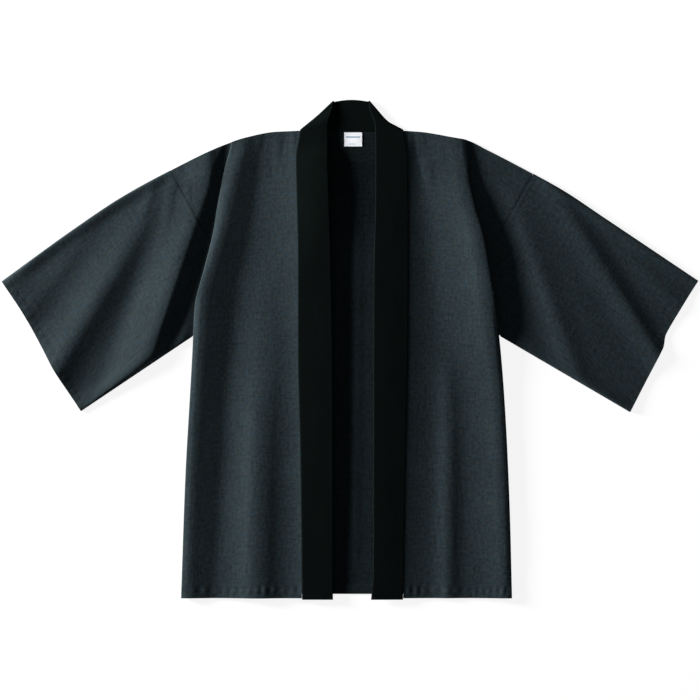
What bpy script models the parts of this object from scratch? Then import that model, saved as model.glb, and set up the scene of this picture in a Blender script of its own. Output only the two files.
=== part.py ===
"""Happi coat laid flat, front up: back, two fronts, two sleeves, collar band and label.

The cloth lies on the plane z = 0 with its hem towards -Y and its neck towards +Y.
All sizes below are millimetres. `out` is the distance from the centre line towards
the wearer's right (-X) or left (+X), so both halves share the same functions.
"""

import math
from collections import namedtuple

import bmesh
import bpy
import numpy as np

MM = 0.001

# Driving dimensions
CLOTH = 1.2  # wall of the body and sleeve cloth
BAND = 2.2  # wall of the folded collar band
LABEL_CLOTH = 1.0
SEAM_GAP = 0.3
LAYER_GAP = 0.3
HEM_Y = -447.2
BACK_HEM_Y = -439.8
NECK_Y = 392.6  # neckline of the back panel, just below the collar
COLLAR_TOP_Y = 449.1
COLLAR_END_Y = -449.6
LABEL_WIDTH = 32.0
LABEL_HEIGHT = 25.2
LABEL_X = 5.7
LABEL_Y = 378.0

# Levels of the middle of the cloth, from the floor up
FLOOR_Z = CLOTH / 2
LOW_Z = FLOOR_Z + CLOTH + LAYER_GAP
PLEAT_Z = LOW_Z + 1.8  # cloth that runs back under the front

# The fronts' armhole pleat
ROLL_HALF = 6.0  # half width of the soft roll along a front's outer edge
ROLL_SLENDER = 1.5  # the roll is at most so much wider than it is high
UNDER_V = 0.445  # share of a front's length where the pleat has run out
COVER_REACH = 18.0  # how far past the pleat the front still lies high
COVER_RUN = 16.0

# How much of a fold's slope is rounded, at its crest and at its foot
RIDGE_TOP, RIDGE_FOOT = 0.3, 0.7
FOLD_TOP = 0.2
ROLL_TOP, ROLL_FOOT = 0.45, 0.45

# The sleeves' folded edges
SLEEVE_WIDTH = 272.0
EDGE_PUFF = 2.95  # rise of the front layer next to a folded edge
EDGE_PUFF_AT_SEAM = 0.55
EDGE_PUFF_RUN = 14.0
SETTLE_RUN = 34.0  # a fold that meets a sleeve edge comes down over this
SEAM_CORNER = 0.7  # share of the sleeve's width where the armhole seam turns to the underarm

# Steps of each wall
MAIN_COLUMNS, ROLL_STEPS, UNDER_COLUMNS, TURN_STEPS, LOW_COLUMNS = 28, 5, 3, 3, 9
SLEEVE_ROWS, SLEEVE_FRONT_COLUMNS, SLEEVE_BACK_COLUMNS, SLEEVE_TURN_STEPS = 19, 24, 7, 4
BAND_COLUMNS, LEG_ROWS, CORNER_STEPS, NECK_STEPS = 7, 21, 4, 8
CORNER_RADIUS = 1.65  # of the band's fold at each neck corner

Mark = namedtuple("Mark", "out y")
FrontRow = namedtuple("FrontRow", "y edge crest inset")
WidthRow = namedtuple("WidthRow", "y width")
FoldRow = namedtuple("FoldRow", "y out height inner outer")
SleeveFold = namedtuple(
    "SleeveFold", "out_a y_a out_b y_b high_a high_mid high_b inner outer foot")
CuffRow = namedtuple("CuffRow", "share inward")
BandRow = namedtuple("BandRow", "y outer inner seam_z free_z")
Corner = namedtuple("Corner", "low high bow knee")

# Share of the front's length at each cross-section
FRONT_V = (0, 0.012, 0.03, 0.06, 0.10, 0.15, 0.20, 0.25, 0.30, 0.345, 0.395, UNDER_V,
           0.50, 0.57, 0.65, 0.73, 0.81, 0.89, 0.95, 1.0)

# Each half of the coat. shoulder: the top outline from neck to cuff. pleat_fold: the inner
# fold of the armhole pleat. seam_end and arm_v: where the armhole seam ends, as a place and
# as a share of the front's length. front: the front's outer edge, how high its crest stands
# and how far inside the edge. crest_top and crest_foot: how much of the slope inside the
# crest is rounded. edge_slope and collar_slope: how wide the cloth falls away from the crest
# and the collar. ridge: the long fold down the front. sleeve_folds: waves from the armhole
# to the cuff. band: the collar's two edges and how high they stand. corner: its fold at the
# neck.

RIGHT = dict(
    sign=-1,
    shoulder=[Mark(90.0, 393.3), Mark(135.0, 391.5), Mark(189.0, 380.7), Mark(219.6, 370.5),
              Mark(246.6, 359.1), Mark(322.6, 322.0), Mark(412.2, 272.7), Mark(493.2, 218.7),
              Mark(626.4, 122.4)],
    shoulder_point=Mark(322.6, 322.0),
    pleat_top=Mark(219.6, 370.5),
    pleat_fold=[Mark(196.0, 378.6), Mark(222.0, 166.1), Mark(268.6, 4.0)],
    seam_end=Mark(235.0, 167.5),
    underarm=Mark(282.6, 24.3),
    cuff_bottom=Mark(484.2, -110.7),
    cuff=[CuffRow(0, 0), CuffRow(0.25, 3.0), CuffRow(0.5, 0.0), CuffRow(0.7, -3.2), CuffRow(1, 0)],
    arm_v=0.25,
    crest_top=0.2,
    crest_foot=0.3,
    front=[FrontRow(393.3, 208.0, 5.0, 20), FrontRow(362.7, 214.5, 6.2, 21),
           FrontRow(323.1, 226.0, 7.2, 21), FrontRow(269.1, 237.0, 7.8, 19),
           FrontRow(215.1, 246.6, 8.7, 16), FrontRow(161.1, 261.0, 9.4, 14),
           FrontRow(89.1, 279.0, 10.4, 12), FrontRow(13.5, 282.6, 9.8, 11),
           FrontRow(-83.7, 288.0, 9.3, 10), FrontRow(-213.3, 295.2, 9.0, 10),
           FrontRow(-447.2, 303.3, 7.5, 10)],
    edge_slope=[WidthRow(360, 42), WidthRow(300, 46), WidthRow(215, 54), WidthRow(161, 63),
                WidthRow(80, 70), WidthRow(35, 67), WidthRow(-90, 60), WidthRow(-180, 62),
                WidthRow(-446, 54)],
    collar_slope=[WidthRow(393, 44), WidthRow(330, 64), WidthRow(250, 78), WidthRow(150, 84),
                  WidthRow(60, 84), WidthRow(-446, 84)],
    collar_power=[WidthRow(393, 2), WidthRow(150, 2), WidthRow(0, 2.8), WidthRow(-446, 3.0)],
    ridge=[FoldRow(170, 146, 0, 60, 60), FoldRow(89, 150, 2.0, 70, 64),
           FoldRow(-20, 152, 4.5, 76, 72), FoldRow(-90, 158, 6.5, 80, 72),
           FoldRow(-180, 164, 8.0, 84, 66), FoldRow(-270, 167, 8.5, 84, 70),
           FoldRow(-446, 170, 8.0, 84, 76)],
    sleeve_folds=[SleeveFold(244, 335, 363, -25, 4.0, 12.0, 13.0, 36, 80, 0.35),
                  SleeveFold(334, 290, 536, -50, 2, 7.0, 9.0, 62, 70, 0.6),
                  SleeveFold(452, 235, 582, 62, 0.5, 1.2, 1.6, 40, 46, 0.6)],
    band=[BandRow(447.0, 89.7, 31.0, 4.4, 4.4), BandRow(430.0, 89.7, 39.4, 4.4, 5.0),
          BandRow(393.9, 89.7, 40.0, 4.4, 9.5), BandRow(350.0, 97.0, 40.0, 7.6, 14.0),
          BandRow(290.0, 95.9, 38.5, 9.0, 14.4), BandRow(161.1, 93.3, 34.5, 9.2, 11.4),
          BandRow(13.5, 93.3, 31.5, 8.5, 10.2), BandRow(-200.0, 88.8, 30.6, 7.6, 8.8),
          BandRow(COLLAR_END_Y, 86.1, 30.6, 6.2, 6.8)],
    corner=Corner(Mark(89.7, 394.2), Mark(29.5, 447.0), 2.0, 0.5),
)

LEFT = dict(
    sign=1,
    shoulder=[Mark(96.5, 393.3), Mark(126.0, 391.5), Mark(189.0, 380.7), Mark(208.8, 377.1),
              Mark(246.6, 359.1), Mark(329.4, 315.9), Mark(387.0, 283.5), Mark(451.8, 240.3),
              Mark(626.4, 123.3)],
    shoulder_point=Mark(329.4, 315.9),
    pleat_top=Mark(208.8, 377.1),
    pleat_fold=[Mark(190.0, 380.5), Mark(214.0, 129.8), Mark(256.0, 4.0)],
    seam_end=Mark(225.7, 132.3),
    underarm=Mark(270.0, 24.3),
    cuff_bottom=Mark(504.0, -112.5),
    cuff=[CuffRow(0, 0), CuffRow(0.2, 5.0), CuffRow(0.4, 8.0), CuffRow(0.52, 0.5), CuffRow(1, 0)],
    arm_v=0.30,
    crest_top=0.2,
    crest_foot=0.8,
    front=[FrontRow(393.3, 206.0, 5.5, 12), FrontRow(362.7, 208.0, 6.5, 10),
           FrontRow(323.1, 212.0, 8.6, 7), FrontRow(269.1, 222.0, 11.6, 7),
           FrontRow(215.1, 239.0, 14.8, 7), FrontRow(161.1, 249.0, 16.0, 7),
           FrontRow(89.1, 261.0, 16.0, 9), FrontRow(13.5, 270.0, 13.4, 10),
           FrontRow(-62.1, 276.2, 9.2, 9), FrontRow(-159.3, 281.8, 7.8, 9),
           FrontRow(-300.0, 287.3, 7.0, 9), FrontRow(-447.2, 290.8, 5.8, 9)],
    edge_slope=[WidthRow(360, 70), WidthRow(269, 98), WidthRow(161, 108), WidthRow(89, 110),
                WidthRow(-20, 94), WidthRow(-90, 70), WidthRow(-446, 54)],
    collar_slope=[WidthRow(393, 30), WidthRow(250, 40), WidthRow(0, 38),
                  WidthRow(-446, 30)],
    collar_power=[WidthRow(393, 1.7), WidthRow(-446, 1.5)],
    ridge=[FoldRow(0, 171, 0, 40, 34), FoldRow(-90, 172, 1.5, 44, 46),
           FoldRow(-300, 172, 2.9, 44, 58), FoldRow(-446, 170, 3.1, 40, 60)],
    sleeve_folds=[SleeveFold(300, 262, 392, -30, 1.0, 3.4, 3.6, 46, 190, 0.5),
                  SleeveFold(308, 240, 402, -22, 1.0, 1.8, 2.2, 32, 40, 0.6),
                  SleeveFold(384, 262, 546, 2, 2.2, 4.0, 4.8, 48, 36, 0.6),
                  SleeveFold(478, 205, 588, 82, 0.3, 1.2, 1.6, 34, 44, 0.6)],
    band=[BandRow(447.4, 96.2, 35.0, 4.4, 4.4), BandRow(415.0, 96.2, 43.6, 4.4, 4.4),
          BandRow(393.9, 96.2, 45.4, 4.4, 4.6), BandRow(362.7, 101.7, 45.9, 5.2, 6.0),
          BandRow(269.1, 105.0, 45.9, 6.0, 7.8), BandRow(161.1, 105.0, 45.9, 6.0, 8.4),
          BandRow(13.5, 104.2, 43.6, 5.8, 8.4), BandRow(-200.0, 99.6, 42.6, 5.4, 8.0),
          BandRow(COLLAR_END_Y, 95.1, 37.8, 5.0, 7.2)],
    corner=Corner(Mark(96.2, 394.2), Mark(34.0, 447.4), 10.0, 0.29),
)


def clear_objects():
    for old in list(bpy.data.objects):
        bpy.data.objects.remove(old, do_unlink=True)


def smooth(share):
    share = min(1.0, max(0.0, share))
    return share * share * (3.0 - 2.0 * share)


def through(xs, ys, x):
    """Monotone cubic curve through the stations, level beyond both ends."""
    pairs = sorted(zip(xs, ys))
    xs = [p[0] for p in pairs]
    ys = [p[1] for p in pairs]
    if x <= xs[0]:
        return ys[0]
    if x >= xs[-1]:
        return ys[-1]
    count = len(xs)
    steps = [xs[k + 1] - xs[k] for k in range(count - 1)]
    rises = [(ys[k + 1] - ys[k]) / steps[k] for k in range(count - 1)]
    slopes = [rises[0]]
    for k in range(1, count - 1):
        same_way = rises[k - 1] * rises[k] > 0
        mean = 2 * rises[k - 1] * rises[k] / (rises[k - 1] + rises[k]) if same_way else 0.0
        slopes.append(mean)
    slopes.append(rises[-1])
    k = max(i for i in range(count - 1) if xs[i] <= x)
    t = (x - xs[k]) / steps[k]
    return ((1 + 2 * t) * (1 - t) ** 2 * ys[k] + t * (1 - t) ** 2 * steps[k] * slopes[k]
            + t * t * (3 - 2 * t) * ys[k + 1] + t * t * (t - 1) * steps[k] * slopes[k + 1])


def read(rows, key, column, x):
    """The named column of a table at x, where key is the table's own x column."""
    return through([getattr(r, key) for r in rows], [getattr(r, column) for r in rows], x)


def between(a, b, share):
    return (a[0] + (b[0] - a[0]) * share, a[1] + (b[1] - a[1]) * share)


def incline(share, top, foot):
    """A slope from 1 down to 0 at a share of 1, straight but rounded over its top and foot."""
    share = min(1.0, abs(share))
    steep = 1 / (1 - (top + foot) / 2)
    if share < top:
        return 1 - steep * share ** 2 / (2 * top)
    if share > 1 - foot:
        return steep * (1 - share) ** 2 / (2 * foot)
    return 1 - steep * (share - top / 2)


def shoulder_y(side, out):
    return read(side["shoulder"], "out", "y", out)


def sleeve_folds_height(folds, out, y):
    """Height of the sleeve's folds over one point."""
    start_run = 0.22  # share of its length over which a fold begins
    total = 0.0
    for fold in folds:
        run = (fold.out_b - fold.out_a, fold.y_b - fold.y_a)
        length = math.hypot(*run)
        along = ((out - fold.out_a) * run[0] + (y - fold.y_a) * run[1]) / length ** 2
        across = ((out - fold.out_a) * -run[1] + (y - fold.y_a) * run[0]) / length
        width = fold.outer if across > 0 else fold.inner
        peak = through([0, 0.5, 1], [fold.high_a, fold.high_mid, fold.high_b], along)
        peak *= smooth(1.0 + along / start_run)
        total += peak * incline(across / width, FOLD_TOP, fold.foot)
    return total


def low_height(side, out, y):
    """Rise of the lower cloth (sleeve and the front's lowest layer) over LOW_Z."""
    clearance, run = 6.0, 20.0
    edge = read(side["front"], "y", "edge", y)
    clear_of_front = smooth((out - edge - clearance) / run)
    return sleeve_folds_height(side["sleeve_folds"], out, y) * clear_of_front


def main_height(side, out, y):
    """Middle of the front cloth at one point between the collar and the roll."""
    collar = read(side["band"], "y", "outer", y)
    edge = read(side["front"], "y", "edge", y)
    crest = read(side["front"], "y", "crest", y)
    inset = read(side["front"], "y", "inset", y)
    past_crest = out - (edge - inset)
    past_edge, per_inset = 6.0, 1.5  # the slope outside the crest runs on past the edge
    if past_crest > 0:
        fall = incline(past_crest / (per_inset * inset + past_edge), ROLL_TOP, ROLL_FOOT)
    else:
        run = read(side["edge_slope"], "y", "width", y)
        fall = incline(past_crest / run, side["crest_top"], side["crest_foot"])
    height = LOW_Z + (crest - LOW_Z) * fall
    from_collar = (out - collar) / read(side["collar_slope"], "y", "width", y)
    power = read(side["collar_power"], "y", "width", y)
    seam = read(side["band"], "y", "seam_z", y)
    height += (seam - LOW_Z) * min(1.0, max(0.0, 1 - from_collar)) ** power
    middle = read(side["ridge"], "y", "out", y)
    width = read(side["ridge"], "y", "outer" if out > middle else "inner", y)
    high = read(side["ridge"], "y", "height", y)
    height += high * incline((out - middle) / width, RIDGE_TOP, RIDGE_FOOT)

    # Over the pleat the cloth lies on the layer below it
    slack, blend = 0.6, 0.6
    v = front_share(side, y)
    over_pleat = smooth((out - fold_out_at(side, y) + COVER_REACH) / COVER_RUN) * under_share(v)
    cover = LOW_Z + (under_level(v) + CLOTH + LAYER_GAP + slack - LOW_Z) * over_pleat
    short = cover - height
    return height + (short + math.hypot(short, blend)) / 2


def front_share(side, y):
    """How far down the front's outer edge y lies: 0 at the shoulder line, 1 at the hem."""
    top = side["pleat_top"].y
    return (top - y) / (top - HEM_Y)


def fold_mark(side, v):
    """The inner fold of the pleat: two straight runs, in to the armhole's end and out again."""
    top, corner, end = side["pleat_fold"]
    arm_v = side["arm_v"]
    if v <= arm_v:
        return between(top, corner, v / arm_v)
    return between(corner, end, min(1.0, (v - arm_v) / (UNDER_V - arm_v)))


def fold_out_at(side, y):
    return np.interp(-y, [-m.y for m in side["pleat_fold"]], [m.out for m in side["pleat_fold"]])


def under_share(v):
    """1 where cloth runs back under the front, 0 below the underarm."""
    end, run = UNDER_V + 0.02, 0.06
    return smooth((end - v) / run)


def under_level(v):
    """Middle of the cloth that runs back under the front's edge."""
    settling, end = 0.39, UNDER_V + 0.02
    return PLEAT_Z + (LOW_Z - PLEAT_Z) * smooth((v - settling) / (end - settling))


def wall(name, grid, counts, thickness, material, ring=False, square=()):
    """A closed wall round the surface `grid` (rows of points, mm).

    counts[r] is how many columns the cells above row r have. With ring, the last
    column joins the first. square lists (row, column, direction): there the wall's
    end stays at right angles to direction, so a seam keeps its gap.
    """
    rows, columns = grid.shape[:2]
    cells = []
    for r in range(rows - 1):
        for c in range(columns if ring else counts[r] - 1):
            cells.append(((r, c), (r, (c + 1) % columns), (r + 1, (c + 1) % columns), (r + 1, c)))
    normals = np.zeros_like(grid)
    for cell in cells:
        a, b, c, d = (grid[p] for p in cell)
        normal = np.cross(c - a, d - b)
        for p in cell:
            normals[p] += normal / (np.linalg.norm(normal) + 1e-12)
    for r, c, direction in square:
        axis = np.array(direction, dtype=float)
        axis /= np.linalg.norm(axis)
        normals[r, c] -= axis * np.dot(normals[r, c], axis)
    lengths = np.linalg.norm(normals, axis=2, keepdims=True)
    normals /= np.maximum(lengths, 1e-9)

    mesh = bpy.data.meshes.new(name)
    bm = bmesh.new()
    used = sorted({p for cell in cells for p in cell})
    upper = {p: bm.verts.new((grid[p] + normals[p] * thickness / 2) * MM) for p in used}
    lower = {p: bm.verts.new((grid[p] - normals[p] * thickness / 2) * MM) for p in used}
    edges = set()
    for cell in cells:
        bm.faces.new([upper[p] for p in cell])
        bm.faces.new([lower[p] for p in reversed(cell)])
        edges.update(zip(cell, cell[1:] + cell[:1]))
    for a, b in sorted(edges):
        if (b, a) not in edges:
            bm.faces.new([upper[b], upper[a], lower[a], lower[b]])
    bmesh.ops.recalc_face_normals(bm, faces=bm.faces)
    bm.to_mesh(mesh)
    bm.free()
    mesh.shade_smooth()
    mesh.set_sharp_from_angle(angle=math.radians(50))
    mesh.materials.append(material)
    part = bpy.data.objects.new(name, mesh)
    bpy.context.collection.objects.link(part)
    return part


def plate(name, outline, bottom, thickness, material):
    """A flat panel of cloth with the given outline (mm), from bottom upwards."""
    mesh = bpy.data.meshes.new(name)
    bm = bmesh.new()
    floor = [bm.verts.new((x * MM, y * MM, bottom * MM)) for x, y in outline]
    face = bm.faces.new(floor)
    raised = bmesh.ops.extrude_face_region(bm, geom=[face])
    for item in raised["geom"]:
        if isinstance(item, bmesh.types.BMVert):
            item.co.z = (bottom + thickness) * MM
    bmesh.ops.recalc_face_normals(bm, faces=bm.faces)
    bm.to_mesh(mesh)
    bm.free()
    mesh.materials.append(material)
    part = bpy.data.objects.new(name, mesh)
    bpy.context.collection.objects.link(part)
    return part


def cloth_material(name, colour, roughness):
    material = bpy.data.materials.new(name)
    material.use_nodes = True
    shader = material.node_tree.nodes["Principled BSDF"]
    shader.inputs["Base Color"].default_value = (*colour, 1.0)
    shader.inputs["Roughness"].default_value = roughness
    shader.inputs["Metallic"].default_value = 0.0
    material.diffuse_color = (*colour, 1.0)
    return material


def half_turn(steps):
    """Angles from straight up to straight down, without the first."""
    return [math.pi / 2 - math.pi * k / steps for k in range(1, steps + 1)]


def front_section(side, v):
    """One cross-section of a front: main cloth, edge roll, pleat back to the seam."""
    edge_y = side["pleat_top"].y + (HEM_Y - side["pleat_top"].y) * v
    edge = read(side["front"], "y", "edge", edge_y)
    points = []

    # Main cloth, from the collar seam to the start of the roll
    under_z = under_level(v)
    roll_half_z = (main_height(side, edge - ROLL_HALF, edge_y) - under_z) / 2
    crest_out = edge - min(ROLL_HALF, ROLL_SLENDER * roll_half_z)
    seam_top_y = shoulder_y(side, side["band"][0].outer)
    start = read(side["band"], "y", "outer", seam_top_y + (HEM_Y - seam_top_y) * v) + SEAM_GAP
    for k in range(MAIN_COLUMNS):
        out = start + (crest_out - start) * k / (MAIN_COLUMNS - 1)
        y = shoulder_y(side, out) + (HEM_Y - shoulder_y(side, out)) * v
        points.append((out, y, main_height(side, out, y)))
    crest_y, crest_z = points[-1][1], points[-1][2]

    # Soft roll along the outer edge, down to the cloth below it
    middle_z, half_z = (crest_z + under_z) / 2, (crest_z - under_z) / 2
    for angle in half_turn(ROLL_STEPS):
        out = crest_out + (edge - crest_out) * math.cos(angle)
        y = crest_y + (shoulder_y(side, out) - shoulder_y(side, crest_out)) * (1 - v) ** 2
        points.append((out, y, middle_z + half_z * math.sin(angle)))

    # Cloth that runs back in under the front
    fold_out, fold_y = fold_mark(side, v)
    for k in range(1, UNDER_COLUMNS + 1):
        out, y = between((crest_out, crest_y), (fold_out, fold_y), k / UNDER_COLUMNS)
        points.append((out, y, under_z))
    turn = (under_z - LOW_Z) / 2
    for angle in half_turn(TURN_STEPS):
        points.append((fold_out - turn * math.cos(angle), fold_y,
                       LOW_Z + turn + turn * math.sin(angle)))

    # Lowest layer, out to the armhole seam
    arm_share = min(1.0, v / side["arm_v"])
    seam_out, seam_y = between(side["shoulder_point"], side["seam_end"], arm_share)
    seam_out -= SEAM_GAP / 2
    top_fold, top_seam = side["pleat_fold"][0], side["shoulder_point"]
    for k in range(1, LOW_COLUMNS + 1):
        share = k / LOW_COLUMNS
        out, y = between((fold_out, fold_y), (seam_out, seam_y), share)
        top_out, chord_y = between(top_fold, top_seam, share)
        y += (shoulder_y(side, top_out) - chord_y) * (1 - arm_share) ** 3
        points.append((out, y, LOW_Z + low_height(side, out, y)))
    return points


def build_front(name, side, material):
    main_and_roll = MAIN_COLUMNS + ROLL_STEPS
    with_under = main_and_roll + UNDER_COLUMNS
    every = with_under + TURN_STEPS + LOW_COLUMNS
    sections = [front_section(side, v) for v in FRONT_V]
    grid = np.array([[(side["sign"] * out, y, z) for out, y, z in row] for row in sections])
    counts = []
    for v in FRONT_V:
        counts.append(every if v < side["arm_v"] else with_under if v < UNDER_V
                      else main_and_roll)
    square = [(r, 0, (1, 0, 0)) for r in range(len(FRONT_V))]
    square += [(r, every - 1, (1, 0, 0)) for r, v in enumerate(FRONT_V) if v <= side["arm_v"]]
    square += [(0, c, (0, 1, 0)) for c in range(every)]
    return wall(name, grid, counts, CLOTH, material, square=square)


def sleeve_point(side, front, across, along):
    """Plan position on a sleeve: across 0 at its top fold, along 0 at the armhole."""
    point, end, under = side["shoulder_point"], side["seam_end"], side["underarm"]
    if not front:
        inner = between(point, under, across)
    elif across < SEAM_CORNER:
        inner = between(point, end, across / SEAM_CORNER)
    else:
        inner = between(end, under, (across - SEAM_CORNER) / (1 - SEAM_CORNER))
    tip = side["shoulder"][-1]
    cuff = between(tip, side["cuff_bottom"], across)
    inward = read(side["cuff"], "share", "inward", across)
    out, y = between((inner[0] + SEAM_GAP, inner[1]), (cuff[0] - inward, cuff[1]), along)
    chord_out, chord_y = between(point, tip, along)
    return out, y + (1 - across) * (shoulder_y(side, chord_out) - chord_y)


def sleeve_ring(side, along):
    """One closed cross-section of a sleeve: front layer, lower fold, back layer, upper fold."""
    seam_run = 0.12
    puff = EDGE_PUFF_AT_SEAM + (EDGE_PUFF - EDGE_PUFF_AT_SEAM) * smooth(along / seam_run)
    radius = (LOW_Z + puff - FLOOR_Z) / 2
    margin = radius / SLEEVE_WIDTH
    last = SLEEVE_FRONT_COLUMNS - 1
    ring = []
    for c in range(SLEEVE_FRONT_COLUMNS):
        across = margin + (1 - 2 * margin) * (1 - math.cos(math.pi * c / last)) / 2
        out, y = sleeve_point(side, True, across, along)
        from_edge = min(across, 1 - across) * SLEEVE_WIDTH
        near_edge = max(0.0, 1 - from_edge / SETTLE_RUN)
        rise = low_height(side, out, y) * math.sqrt(1 - near_edge ** 2)
        rise += puff * math.exp(-((from_edge - radius) / EDGE_PUFF_RUN) ** 2)
        ring.append((out, y, LOW_Z + rise))
    turns = half_turn(SLEEVE_TURN_STEPS)[:-1]
    for angle in turns:
        out, y = sleeve_point(side, angle > 0, 1 - margin + margin * math.cos(angle), along)
        ring.append((out, y, FLOOR_Z + radius + radius * math.sin(angle)))
    for c in range(SLEEVE_BACK_COLUMNS):
        across = 1 - margin - (1 - 2 * margin) * c / (SLEEVE_BACK_COLUMNS - 1)
        out, y = sleeve_point(side, False, across, along)
        ring.append((out, y, FLOOR_Z))
    for angle in reversed(turns):
        out, y = sleeve_point(side, angle > 0, margin - margin * math.cos(angle), along)
        ring.append((out, y, FLOOR_Z + radius + radius * math.sin(angle)))
    return ring


def build_sleeve(name, side, material):
    rings = [sleeve_ring(side, r / (SLEEVE_ROWS - 1)) for r in range(SLEEVE_ROWS)]
    grid = np.array([[(side["sign"] * out, y, z) for out, y, z in ring] for ring in rings])
    point, end = side["shoulder_point"], side["seam_end"]
    off_seam = (side["sign"] * (point.y - end.y), point.out - end.out, 0)
    square = [(0, c, off_seam) for c in range(grid.shape[1])]
    return wall(name, grid, [], CLOTH, material, ring=True, square=square)


def band_leg(side):
    """Half of the collar from its end up to the fold at the neck corner, as rows of points."""
    closer_to_corner = 1.5  # the rows lie closer together towards the neck
    corner_run, least_run, knee_top, knee_foot = 0.05, 0.1, 0.25, 0.05
    low, high, bow, knee = side["corner"]
    leg = []
    for r in range(LEG_ROWS):
        share = 1 - (1 - r / (LEG_ROWS - 1)) ** closer_to_corner
        row = []
        for c in range(BAND_COLUMNS):
            across = c / (BAND_COLUMNS - 1)
            run = corner_run * max(across, least_run)
            to_corner = smooth((share - 1 + run) / run)
            corner_out, corner_y = between(low, high, across)
            from_knee = ((knee - across) / knee if across < knee
                         else (across - knee) / (1 - knee))
            corner_out -= bow * incline(from_knee, knee_top, knee_foot)
            y = COLLAR_END_Y + (corner_y - COLLAR_END_Y) * share
            outer, inner, seam_z, free_z = (read(side["band"], "y", column, y)
                                            for column in ("outer", "inner", "seam_z", "free_z"))
            out = outer + (inner - outer) * across
            out += (corner_out - out) * to_corner
            z = seam_z + (free_z - seam_z) * math.sin(across * math.pi / 2)
            z += (BAND / 2 + 2 * CORNER_RADIUS - z) * to_corner
            row.append((out, y, z))
        leg.append(row)
    return leg


def half_band(side):
    """One leg of the collar with its fold under at the neck corner."""
    leg = band_leg(side)
    low, high = side["corner"].low, side["corner"].high
    length = math.dist(low, high)
    outward = ((high.y - low.y) / length, (low.out - high.out) / length)
    middle_z = BAND / 2 + CORNER_RADIUS
    hinge = [(out - outward[0] * CORNER_RADIUS, y - outward[1] * CORNER_RADIUS)
             for out, y, z in leg.pop()]
    for angle in [math.pi / 2] + half_turn(CORNER_STEPS):
        reach = CORNER_RADIUS * math.cos(angle)
        z = middle_z + CORNER_RADIUS * math.sin(angle)
        leg.append([(out + outward[0] * reach, y + outward[1] * reach, z) for out, y in hinge])
    return [[(side["sign"] * out, y, z) for out, y, z in row] for row in leg]


def build_collar(material):
    right, left = half_band(RIGHT), half_band(LEFT)
    neck = []
    for k in range(1, NECK_STEPS):
        share = k / NECK_STEPS
        rise = (COLLAR_TOP_Y - right[-1][-1][1]) * math.sin(math.pi * share)
        row = []
        for c, (p, q) in enumerate(zip(right[-1], left[-1])):
            x, y, z = (a + (b - a) * share for a, b in zip(p, q))
            row.append((x, y + rise * c / (BAND_COLUMNS - 1), z))
        neck.append(row)
    grid = np.array(right + neck + left[::-1])
    counts = [BAND_COLUMNS] * len(grid)
    seams = list(range(LEG_ROWS - 1)) + list(range(len(grid) - LEG_ROWS + 1, len(grid)))
    square = [(r, 0, (1, 0, 0)) for r in seams]
    return wall("collar", grid, counts, BAND, material, square=square)


def back_outline():
    """Plan outline of the back panel, hem first, anticlockwise from above."""
    inset = 0.3  # the back lies just inside the fronts' and sleeves' edges
    half = {}
    for side in (LEFT, RIGHT):
        marks = []
        for row in sorted(side["front"], key=lambda r: r.y):
            if row.y < side["underarm"].y:
                marks.append((row.edge - inset, max(row.y, BACK_HEM_Y)))
        marks.append((side["underarm"].out - inset, side["underarm"].y))
        marks.append((side["shoulder_point"].out - inset, side["shoulder_point"].y))
        for mark in reversed(side["shoulder"]):
            if mark.out < side["shoulder_point"].out:
                marks.append((mark.out, mark.y))
        marks[-1] = (marks[-1][0], NECK_Y)
        half[side["sign"]] = [(side["sign"] * out, y) for out, y in marks]
    return half[1] + half[-1][::-1]


def build_label(material):
    bottom = CLOTH + LAYER_GAP
    half_width, half_height = LABEL_WIDTH / 2, LABEL_HEIGHT / 2
    corners = ((-1, -1), (1, -1), (1, 1), (-1, 1))
    outline = [(LABEL_X + x * half_width, LABEL_Y + y * half_height) for x, y in corners]
    return plate("label", outline, bottom, LABEL_CLOTH, material)


def main():
    clear_objects()
    cotton = cloth_material("charcoal_cotton", (0.020, 0.026, 0.029), 0.85)
    band_cloth = cloth_material("black_collar_cloth", (0.004, 0.005, 0.005), 0.8)
    white_cloth = cloth_material("white_label", (0.75, 0.76, 0.80), 0.7)
    plate("back", back_outline(), 0.0, CLOTH, cotton)
    build_front("front_right", RIGHT, cotton)
    build_front("front_left", LEFT, cotton)
    build_sleeve("sleeve_right", RIGHT, cotton)
    build_sleeve("sleeve_left", LEFT, cotton)
    build_collar(band_cloth)
    build_label(white_cloth)


main()
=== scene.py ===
"""Looks of a happi coat laid flat with its front up: cloth shells, stitches, label and light.

The cloth has the same outlines as the coat's solids, in millimetres, with finer folds. `out`
is the distance from the centre line, towards the wearer's right (-X) or left (+X), so the two
halves share their functions. Each panel is one thin closed shell over a grid of points.
"""

import math
from collections import namedtuple

import bmesh
import bpy
import numpy as np
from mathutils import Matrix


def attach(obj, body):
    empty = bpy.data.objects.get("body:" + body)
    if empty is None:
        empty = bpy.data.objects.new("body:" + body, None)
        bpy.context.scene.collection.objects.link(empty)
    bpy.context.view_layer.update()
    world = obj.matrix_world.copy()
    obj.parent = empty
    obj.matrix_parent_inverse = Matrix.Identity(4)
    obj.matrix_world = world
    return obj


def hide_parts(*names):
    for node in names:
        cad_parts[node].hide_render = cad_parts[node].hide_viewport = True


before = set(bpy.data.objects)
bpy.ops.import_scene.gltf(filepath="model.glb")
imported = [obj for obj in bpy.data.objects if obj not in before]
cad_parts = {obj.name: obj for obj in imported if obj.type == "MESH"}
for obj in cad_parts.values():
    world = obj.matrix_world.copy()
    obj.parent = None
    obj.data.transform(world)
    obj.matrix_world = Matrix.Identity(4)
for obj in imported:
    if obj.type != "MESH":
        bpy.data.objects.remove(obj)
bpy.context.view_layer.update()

MM = 0.001

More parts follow.
